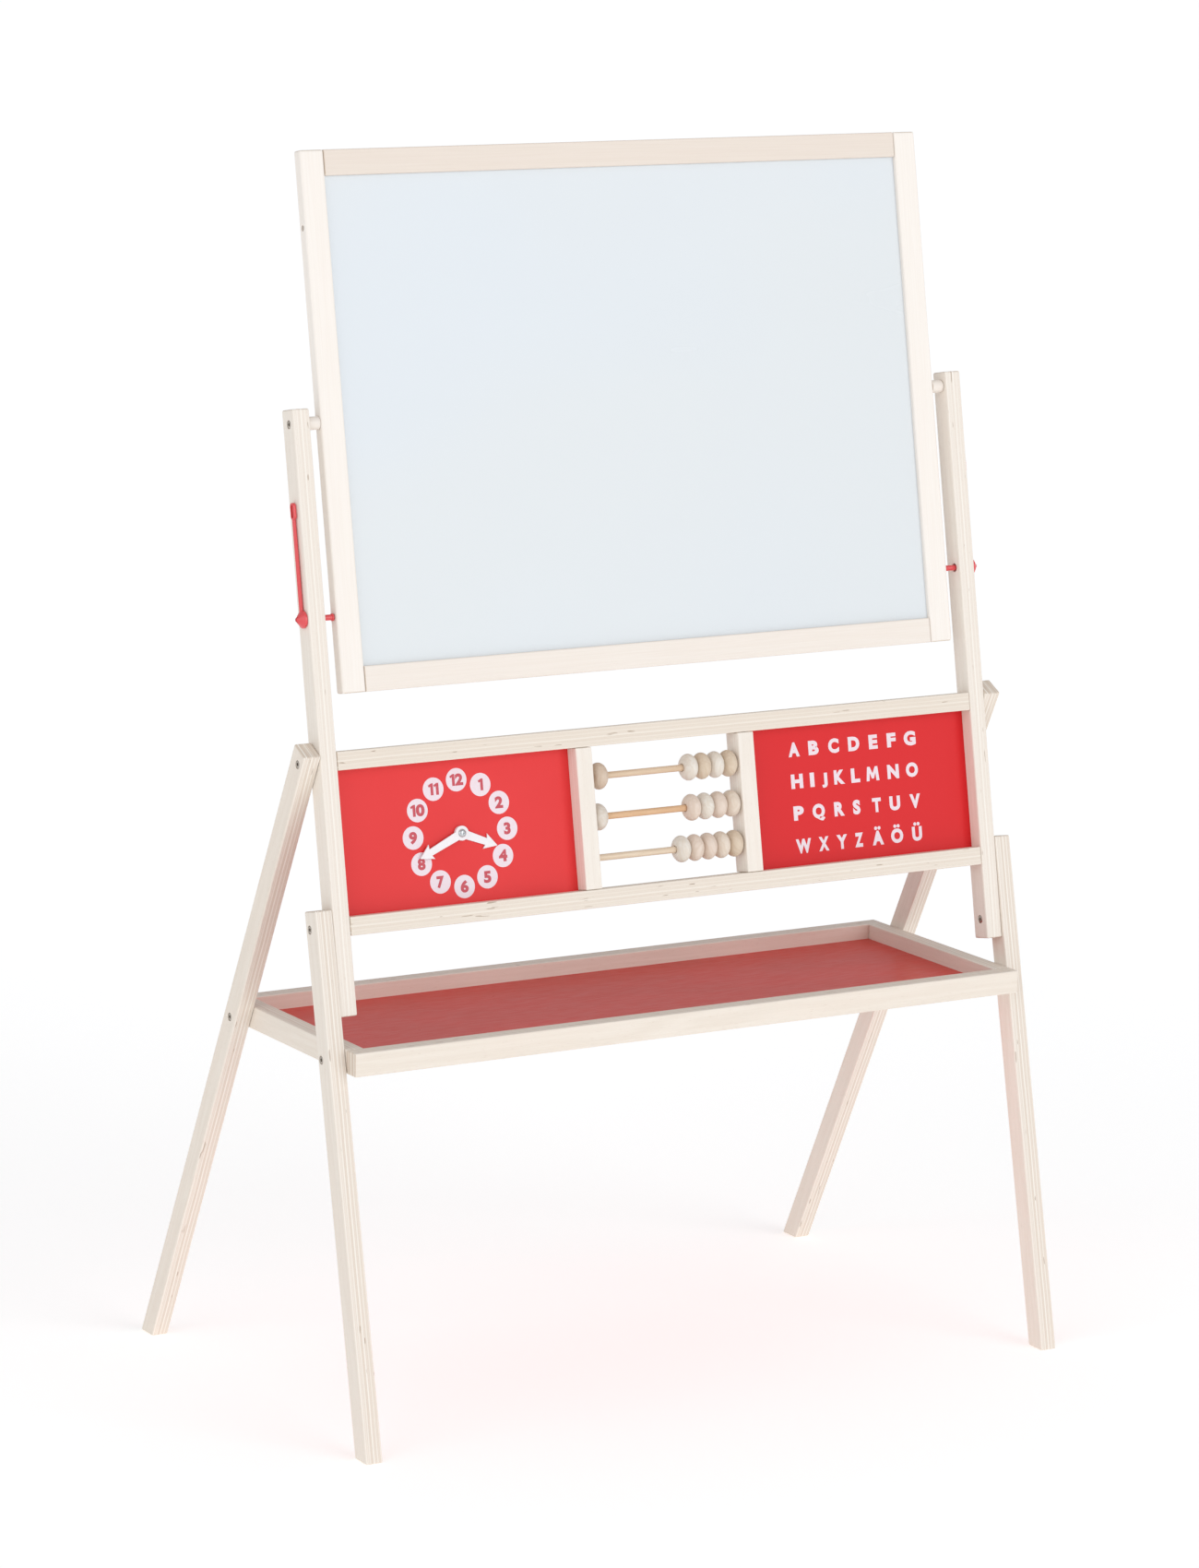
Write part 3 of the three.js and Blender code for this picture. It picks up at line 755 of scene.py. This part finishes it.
def printing_place(own_x, own_z, lift):
    """From a flat print in X and Y, in metres, to the front of the red panels."""
    panel_front = limits(own_points("clock_panel", along_post))[0].y
    upright = Matrix.Rotation(math.pi / 2, 4, "X")
    return lean_back @ Matrix.Translation((own_x, panel_front - lift, own_z)) @ upright


def repeat_tree(name, inputs):
    """A Geometry Nodes tree, its named inputs as seen inside it, and their sockets."""
    tree = bpy.data.node_groups.new(name, "GeometryNodeTree")
    tree.interface.new_socket("Geometry", in_out="OUTPUT", socket_type="NodeSocketGeometry")
    sockets = {
        label: tree.interface.new_socket(label, in_out="INPUT", socket_type=f"NodeSocket{kind}")
        for label, kind in inputs.items()
    }
    return tree, tree.nodes.new("NodeGroupInput").outputs, sockets


def repeated(name, start, tree, sockets, values):
    """What a tree makes of a mesh, with the tree's inputs set by their identifiers."""
    holder = placed(name, start)
    repeating = holder.modifiers.new("repeating", "NODES")
    repeating.node_group = tree
    for label, value in values.items():
        repeating[sockets[label].identifier] = value
    return evaluated_mesh(holder)


# A ring of spots: a flat drum on each point of a circle.
ring_tree, given, ring_inputs = repeat_tree(
    "ring_of_spots",
    {"Count": "Int", "Ring radius": "Float", "Spot radius": "Float"}
    | {"Ink thickness": "Float", "Ink": "Material"},
)
ring = {"Vertices": given["Count"], "Radius": given["Ring radius"]}
ring = put(ring_tree, "GeometryNodeMeshCircle", ring).outputs[0]
spot = {"Vertices": 40, "Radius": given["Spot radius"], "Depth": given["Ink thickness"]}
spot = put(ring_tree, "GeometryNodeMeshCylinder", spot).outputs[0]
spots = put(ring_tree, "GeometryNodeInstanceOnPoints", {"Points": ring, "Instance": spot})
spots = put(ring_tree, "GeometryNodeRealizeInstances", {0: spots.outputs[0]})
inked = {"Geometry": spots.outputs[0], "Material": given["Ink"]}
inked = put(ring_tree, "GeometryNodeSetMaterial", inked)
put(ring_tree, "NodeGroupOutput", {0: inked.outputs[0]})

clock_at = along_post @ joint_place("hour_hand_turn")
spot_values = {
    "Count": 12,
    "Ring radius": RING_RADIUS * MM,
    "Spot radius": SPOT_RADIUS * MM,
    "Ink thickness": INK,
    "Ink": print_white,
}
mesh = repeated("spots", bpy.data.meshes.new("spots"), ring_tree, ring_inputs, spot_values)
mesh.transform(printing_place(clock_at.x, clock_at.z, INK / 2))
settled("clock_spots", mesh, "frame", "red_panel")


CAPITAL = 0.682  # how high a capital is in the plain font, at a size of 1


def lettered(letter, height, width, weight, thickness):
    """A bold letter or figure as a flat closed mesh in X and Y, drawn out to a width."""
    curve = bpy.data.curves.new("letter", "FONT")
    curve.body = letter
    curve.size = 1.0
    curve.resolution_u = 4
    plain = height - 2 * weight
    scale = plain / CAPITAL
    curve.offset = weight / scale
    curve.extrude = thickness / 2 / scale
    mesh = evaluated_mesh(placed("letter", curve))
    bpy.data.curves.remove(curve)
    mesh.transform(Matrix.Scale(scale, 4))
    xs = [v.co.x for v in mesh.vertices]
    mesh.transform(Matrix.Translation((-(min(xs) + max(xs)) / 2, -plain / 2, 0)))
    mesh.transform(Matrix.Diagonal((width / (max(xs) - min(xs)), 1, 1, 1)))
    return mesh


def printed(name, letters, material, middle, lift):
    """One print of letters, each placed in X and Y from a middle in the posts' own frame."""
    shape = bmesh.new()
    for letter, x, y in letters:
        letter.transform(Matrix.Translation((x, y, 0)))
        shape.from_mesh(letter)
        bpy.data.meshes.remove(letter)
    bmesh.ops.remove_doubles(shape, verts=shape.verts, dist=1e-7)
    bmesh.ops.recalc_face_normals(shape, faces=shape.faces)
    mesh = meshed(shape, name)
    mesh.transform(printing_place(middle.x, middle.z, lift))
    mesh.materials.append(material)
    return mesh


# Shapes that the plain font doesn't have: a one with a flag, and an M in thick strokes.
FLAGGED_ONE = (
    (0.0, -0.5), (0.26, -0.5), (0.26, 0.5), (0.08, 0.5), (-0.22, 0.33), (-0.14, 0.16),
    (0.0, 0.24),
)
M_RIGHT = (0.08, -0.34), (0.22, 0.06), (0.27, -0.5), (0.5, -0.5), (0.4, 0.5), (0.2, 0.5)
BROAD_M = *M_RIGHT, (0.0, 0.02), *((-x, y) for x, y in reversed(M_RIGHT))


def cut_out(outline, width, height, thickness):
    """A flat print from an outline, which is given for a width and a height of one."""
    points = [(x * width, y * height, -thickness / 2) for x, y in outline]
    return meshed(thickened(points, (0, 0, thickness)), "cut_out")


FIGURE = 11.2 * MM  # a figure's height
figure_widths = dict(zip("234567890", (8.6, 7.2, 9.2, 8.0, 8.6, 7.9, 8.2, 8.6, 9.4)))
# How far aside the two figures of 10, 11 and 12 stand, in millimetres.
paired = {10: (-5.0, 3.0), 11: (-2.9, 2.9), 12: (-4.6, 2.9)}
numerals = []
for hour in range(1, 13):
    turn = math.radians(30 * hour)
    x, y = RING_RADIUS * math.sin(turn), RING_RADIUS * math.cos(turn)
    for figure, aside in zip(str(hour), paired.get(hour, (0,))):
        if figure == "1":
            cast = cut_out(FLAGGED_ONE, FIGURE, FIGURE, FIGURE_INK)
        else:
            width = figure_widths[figure] * MM
            cast = lettered(figure, FIGURE, width, 0.75 * MM, FIGURE_INK)
        numerals.append((cast, (x + aside) * MM, y * MM))
mesh = printed("clock_numerals", numerals, print_red, clock_at, 0.11 * MM)
settled("clock_numerals", mesh, "frame", "red_panel")

# --------------------------------------------
# Alphabet: white capital letters screen-printed on the right panel in four rows of seven
# or eight. The last three letters carry two dots each.
# --------------------------------------------
LETTER = 14.05 * MM  # a letter's height
panel_low, panel_high = limits(own_points("letter_panel", along_post))
# By the height of a row: where each letter's middle is, and its width. Heights and
# middles are from the middle of the panel, and all are in millimetres.
letter_rows = {
    45.4: "A-72.3:12.9 B-49.7:11.8 C-26.4:12.4 D-2.9:13.2 E19.8:10.2 F41.2:10.5 G62.8:14",
    14.3: "H-71.3:13.7 I-53.9:5 J-39.5:6.3 K-22.4:12.4 L-3.6:10.3 M16.5:15 N40.6:13.5 O62.8:14.2",
    -16.8: "P-72.1:11.8 Q-49.1:14.2 R-25.1:11.9 S-5:8.6 T18.5:10.3 U39.9:12.4 V63.7:12.4",
    -49.1: "W-69.2:17.4 X-45.9:11.8 Y-24.8:12.4 Z-5:9.7 A17.2:13.2 O39.7:14.2 U63.3:11.6",
}
alphabet = []
for row, letters in letter_rows.items():
    for number, entry in enumerate(letters.split()):
        x, width = (float(value) for value in entry[1:].split(":"))
        if entry[0] == "M":
            cast = cut_out(BROAD_M, width * MM, LETTER, INK)
        else:
            cast = lettered(entry[0], LETTER, width * MM, 1.0 * MM, INK)
        if entry[0] == "J":
            cast.transform(Matrix.Diagonal((1, 0.80, 1, 1)))
        alphabet.append((cast, x * MM, row * MM))
        if row < -40 and number > 3:  # the last three letters
            for aside in (-1.95, 1.95):
                dot = lathed("dot", [(-0.04, 0), (-0.04, 1.75), (0.04, 1.75), (0.04, 0)], 20)
                dot.transform(Matrix.Scale(MM, 4) @ Matrix.Rotation(math.pi / 2, 4, "Y"))
                alphabet.append((dot, (x + aside) * MM, (row + 9.6) * MM))
panel_middle = (panel_low + panel_high) / 2
mesh = printed("alphabet", alphabet, print_white, panel_middle, INK / 2)
settled("alphabet", mesh, "frame", "red_panel")

# --------------------------------------------
# Clock hands: flat arrows cut from white plastic, the long one in front. Both turn on a
# dome-headed screw in the middle of the clock.
# --------------------------------------------
white_plastic, tree, shader, place = even_finish("white_plastic", {"Roughness": 0.4})
haze = streaks(tree, place, (0.3, 0.3, 0.3), 3)
colour = blend_colours(tree, haze, (0.88, 0.855, 0.88), (0.84, 0.80, 0.83))
dressed(tree, shader, colour, haze, 0.2, 0.3)
relief(tree, streaks(tree, place, (1.2, 1.2, 1.2), 2), 0.08, 0.0001, shader)


def hand_outline(length, hub=7.0, arm=4.1, barb=7.6, head=12.2):
    """An arrow along Z in X and Z, in millimetres, with a round hub on the axis."""
    neck = length - head
    shoulder = math.asin(arm / hub)
    right = [(arm * 0.8, neck - 0.2), (barb, neck - 1.5), (barb * 0.9, neck - 0.4)]
    right.append((0.35, length - 0.3))
    outline = right + [(-x, z) for x, z in reversed(right)]
    sweep = 2 * math.pi - 2 * shoulder
    for i in range(31):
        turn = math.pi / 2 + shoulder + sweep * i / 30
        outline.append((hub * math.cos(turn), hub * math.sin(turn)))
    return outline


for node, length in (("hour_hand", 40.3), ("minute_hand", 50.2)):
    own_pin = along_post @ joint_place(f"{node}_turn")
    points = own_points(node, along_post)
    tip = max((p - own_pin for p in points), key=lambda p: math.hypot(p.x, p.z))
    low, high = limits(points)
    outline = [(x * MM, low.y, z * MM) for x, z in hand_outline(length)]
    shape = thickened(outline, (0, high.y - low.y, 0))
    eased(shape, square_edges(shape, 1), 0.22 * MM)
    mesh = meshed(shape, node)
    hole = lathed("hole", [(-0.02, 0), (-0.02, 2.2 * MM), (0.02, 2.2 * MM), (0.02, 0)], 24)
    hole.transform(Matrix.Rotation(math.pi / 2, 4, "Z"))
    hole.transform(Matrix.Translation((0, low.y, 0)))
    mesh = carved(mesh, [hole])
    mesh.transform(Matrix.Rotation(math.atan2(tip.x, tip.z), 4, "Y"))
    mesh.transform(Matrix.Translation((own_pin.x, 0, own_pin.z)))
    mesh.transform(lean_back)
    finished(mesh, white_plastic)
    settled(f"{node}_arrow", mesh, node, "white_plastic", node)

zinc, tree, shader, place = even_finish("bright_zinc", {"Metallic": 1.0, "Roughness": 0.3})
dull = streaks(tree, place, (0.9, 0.9, 0.9), 4)
colour = blend_colours(tree, dull, (0.66, 0.69, 0.71), (0.46, 0.49, 0.51))
dressed(tree, shader, colour, dull, 0.3, 0.16)
relief(tree, dull, 0.1, 0.0001, shader)

low, high = limits(own_points("hand_screw", along_post))
radius, crown, length = (high.x - low.x) / 2, 2.1 * MM, high.y - low.y
profile = [(0, 0)]
for i in range(1, 9):
    turn = math.pi / 2 * i / 8
    profile.append((crown * (1 - math.cos(turn)), radius * math.sin(turn)))
under, shank = crown + 0.02 * MM, 1.6 * MM
profile += [(under, radius * 0.96), (under, shank), (length, shank), (length, 0)]
dome = lathed("hand_screw", profile, 32)
blade_profile = [(-1, 0), (-1, 0.42), (1.5, 0.3), (1.5, 0)]
for quarter in (0, math.pi / 2):  # a cross for the driver
    blade = lathed("blade", [(x * MM, radius * MM) for x, radius in blade_profile], 4)
    blade.transform(Matrix.Rotation(quarter, 4, "X") @ Matrix.Diagonal((1, 4.6, 1, 1)))
    dome = carved(dome, [blade])
dome.transform(Matrix.Rotation(math.pi / 2, 4, "Z"))
dome.transform(Matrix.Translation(((low.x + high.x) / 2, low.y, (low.z + high.z) / 2)))
dome.transform(lean_back)
finished(dome, zinc)
settled("hand_screw_dome", smoothed(dome), "frame", "steel", "hand_screw")

# --------------------------------------------
# Abacus rods: plain birch dowels glued into blind holes in the mullions. Each comes
# from its own stick, so no two have quite the same colour.
# --------------------------------------------
turned_wood, tree, shader = finish_named("turned_wood", {"Roughness": 0.5})
own = stored(tree, "own", "Vector")
stain = stored(tree, "stain", "Color")
fibres = streaks(tree, own, (1.3, 1.3, 0.07), 4)
slow = streaks(tree, own, (0.10, 0.10, 0.012), 2)
rings = arithmetic(tree, "SINE", arithmetic(tree, "MULTIPLY", slow, 34.0))
rings = arithmetic(tree, "MULTIPLY_ADD", rings, 0.5, 0.5)
shade = arithmetic(tree, "MULTIPLY_ADD", rings, 0.45, arithmetic(tree, "MULTIPLY", fibres, 0.65))
shade = arithmetic(tree, "SUBTRACT", shade, 0.2, clamp=True)
late_wood = blend_colours(tree, 1.0, stain, (0.86, 0.80, 0.73), "MULTIPLY")
colour = blend_colours(tree, shade, stain, late_wood)
dressed(tree, shader, colour, fibres, 0.25, 0.36)
relief(tree, fibres, 0.3, 0.00025, shader)


def stained(mesh, turn, seed, colour):
    """Stores a turned piece's own place, along its grain, and the colour of its wood."""
    shift = Vector((seed * 37.0, 0, seed * 211.0))
    places = [c for v in mesh.vertices for c in turn @ v.co / MM + shift]
    mesh.attributes.new("own", "FLOAT_VECTOR", "POINT").data.foreach_set("vector", places)
    tint = mesh.attributes.new("stain", "FLOAT_COLOR", "POINT")
    tint.data.foreach_set("color", [c for _ in mesh.vertices for c in (*colour, 1)])
    finished(mesh, turned_wood)


lengthwise = own_turn("Z", "X")
for row, colour in ((1, (0.74, 0.57, 0.41)), (2, (0.76, 0.49, 0.29)), (3, (0.80, 0.66, 0.51))):
    node = f"abacus_rod_{row}"
    low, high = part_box(node)
    half, radius, ease = (high.x - low.x) / 2, 3.2 * MM, 0.4 * MM
    profile = [(-half, 0), (-half, radius - ease), (-half + ease, radius)]
    profile += [(half - ease, radius), (half, radius - ease), (half, 0)]
    mesh = smoothed(lathed(node, profile, 28))
    stained(mesh, lengthwise, row, colour)
    mesh.transform(Matrix.Translation((low + high) / 2))
    settled(f"{node}_dowel", mesh, "frame", "rod_wood", node)

# --------------------------------------------
# Beads: turned from bare wood, thick in the middle and soft at the rim, with a bore
# that slides on the rod. Their grain and colour differ from bead to bead.
# --------------------------------------------
WHITE, PALE, PINK, TAN, BROWN, GREY = (
    (0.82, 0.77, 0.70), (0.80, 0.70, 0.60), (0.79, 0.67, 0.58),
    (0.72, 0.60, 0.47), (0.68, 0.55, 0.44), (0.76, 0.70, 0.63),
)
bead_woods = {
    1: (BROWN, WHITE, TAN, WHITE, TAN),
    2: (GREY, PINK, WHITE, PINK, PALE),
    3: (WHITE, PINK, PINK, PALE, TAN),
}
bead_radius, bead_half, bead_bore = 13.0 * MM, 7.2 * MM, 3.7 * MM
mouth, sunk = bead_bore + 0.7 * MM, bead_half - 0.35 * MM
bulge = [math.radians(60 * (i / 8 - 1)) for i in range(17)]
bead_profile = [(-sunk, bead_bore), (-bead_half, mouth)]
bead_profile += [
    (bead_half * math.sin(a) / math.sin(math.radians(60)), bead_radius * math.cos(a)) for a in bulge
]
bead_profile += [(bead_half, mouth), (sunk, bead_bore)]
dice = random.Random(7)
for row, woods in bead_woods.items():
    for number, colour in enumerate(woods, 1):
        node = f"bead_{row}_{number}"
        low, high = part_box(node)
        mesh = smoothed(lathed(node, bead_profile, 40, closed=True), 50)
        tilt = Euler([dice.uniform(-0.5, 0.5) for _ in range(3)]).to_matrix()
        stained(mesh, tilt @ Matrix.Rotation(0.4, 3, "Y"), row * 5 + number, colour)
        mesh.transform(Matrix.Translation((low + high) / 2))
        settled(f"{node}_turned", mesh, node, "bead_wood", node)

# --------------------------------------------
# Tray: a front and a rear board right across, two side boards between them, and a floor
# of red painted fibreboard let in below their top edges.
# --------------------------------------------
for where, seed, tone in (("front", 41, 0.45), ("rear", 42, 0.20)):
    plywood_strip(f"tray_{where}_board", own_turn("Y", "X"), 1.0 * MM, seed, tone, 2.0)
for side, seed in (("left", 43), ("right", 44)):
    plywood_strip(f"tray_{side}_side", own_turn("X", "Y"), 1.0 * MM, seed, 0.40, 1.2)

# Painted shade: the tray floor carries the panels' red paint, but its red is set darker for the low
# angle at which light falls on it.
shaded_tray_paint, tree, shader, place = even_finish(
    "shaded_tray_paint", {"Roughness": 0.34, "Specular IOR Level": 0.3}
)
broad = ramp(tree, streaks(tree, place, (0.006, 0.012, 0.01), 3), 0.3, 0.7)
colour = blend_colours(tree, broad, (0.70, 0.050, 0.036), (0.64, 0.056, 0.040))
scuffs = streaks(tree, place, (0.05, 0.4, 0.4), 4)
dressed(tree, shader, colour, scuffs, 0.3, 0.2)
relief(tree, streaks(tree, place, (0.8, 0.8, 0.8), 3), 0.1, 0.0002, shader)

low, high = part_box("tray_floor")
margin = Vector((GROOVE, GROOVE, 0))
mesh = eased_board("tray_floor", low - margin, high + margin)
mesh.materials.append(shaded_tray_paint)
settled("tray_floor_board", mesh, "frame", "red_tray", "tray_floor")

# --------------------------------------------
# Screws: zinc-plated furniture screws with socket heads, sunk just below the wood. One
# screw is made, and set on a point at each hole.
# --------------------------------------------
dull_zinc, tree, shader, place = even_finish("dull_zinc", {"Metallic": 1.0, "Roughness": 0.42})
dull = streaks(tree, place, (1.1, 1.1, 1.1), 4)
colour = blend_colours(tree, dull, (0.58, 0.53, 0.47), (0.36, 0.32, 0.28))
dressed(tree, shader, colour, dull, 0.3, 0.26)
relief(tree, dull, 0.15, 0.0001, shader)

# From the head inwards, in millimetres: the head, the neck, the shank and its point.
screw_profile = [(-0.35, 0), (-0.35, 3.25), (-0.75, 3.75), (-2.2, 3.75), (-2.2, 2), (-27, 2)]
screw_profile += [(-29.5, 0.4), (-29.5, 0)]
socket_profile = [(-1.9, 0), (-1.9, 1.75), (1, 1.85), (1, 0)]
screw_mesh = lathed("screw", [(x * MM, radius * MM) for x, radius in screw_profile], 32)
socket = lathed("socket", [(x * MM, radius * MM) for x, radius in socket_profile], 6)
screw_mesh = smoothed(carved(screw_mesh, [socket]))
screw_mesh.materials.clear()
screw = placed("screw", screw_mesh)

driven, given, driven_inputs = repeat_tree(
    "driven_screws",
    {"Geometry": "Geometry", "Screw": "Object", "Size": "Float", "Plating": "Material"},
)
one_screw = put(driven, "GeometryNodeObjectInfo", {"Object": given["Screw"]})
facing = {"Name": "facing"}
facing = put(driven, "GeometryNodeInputNamedAttribute", facing, data_type="FLOAT_VECTOR")
facing = put(driven, "FunctionNodeEulerToRotation", {0: facing.outputs[0]})
set_in = {
    "Points": given["Geometry"],
    "Instance": one_screw.outputs["Geometry"],
    "Rotation": facing.outputs[0],
    "Scale": given["Size"],
}
set_in = put(driven, "GeometryNodeInstanceOnPoints", set_in)
set_in = put(driven, "GeometryNodeRealizeInstances", {0: set_in.outputs[0]})
plated = {"Geometry": set_in.outputs[0], "Material": given["Plating"]}
plated = put(driven, "GeometryNodeSetMaterial", plated)
put(driven, "NodeGroupOutput", {0: plated.outputs[0]})

dice = random.Random(11)
for name, body, kinds in (
    ("frame_screws", "frame", ("rear_leg", "front_leg", "post", "tray_rear", "tray_front")),
    ("pivot_screws", "board", ("pivot",)),
):
    stands_for = [f"{side}_{kind}_screw" for kind in kinds for side in ("left", "right")]
    faces = [screw_face(node) for node in stands_for]
    points = bpy.data.meshes.new(name)
    points.from_pydata([place for place, _ in faces], [], [])
    turns = [c for _, out in faces for c in (dice.uniform(0, 1), 0, 0 if out > 0 else math.pi)]
    points.attributes.new("facing", "FLOAT_VECTOR", "POINT").data.foreach_set("vector", turns)
    values = {"Screw": screw, "Size": 1.0, "Plating": dull_zinc}
    mesh = repeated(name, points, driven, driven_inputs, values)
    settled(name, mesh, body, "steel", *stands_for)
bpy.data.objects.remove(screw)
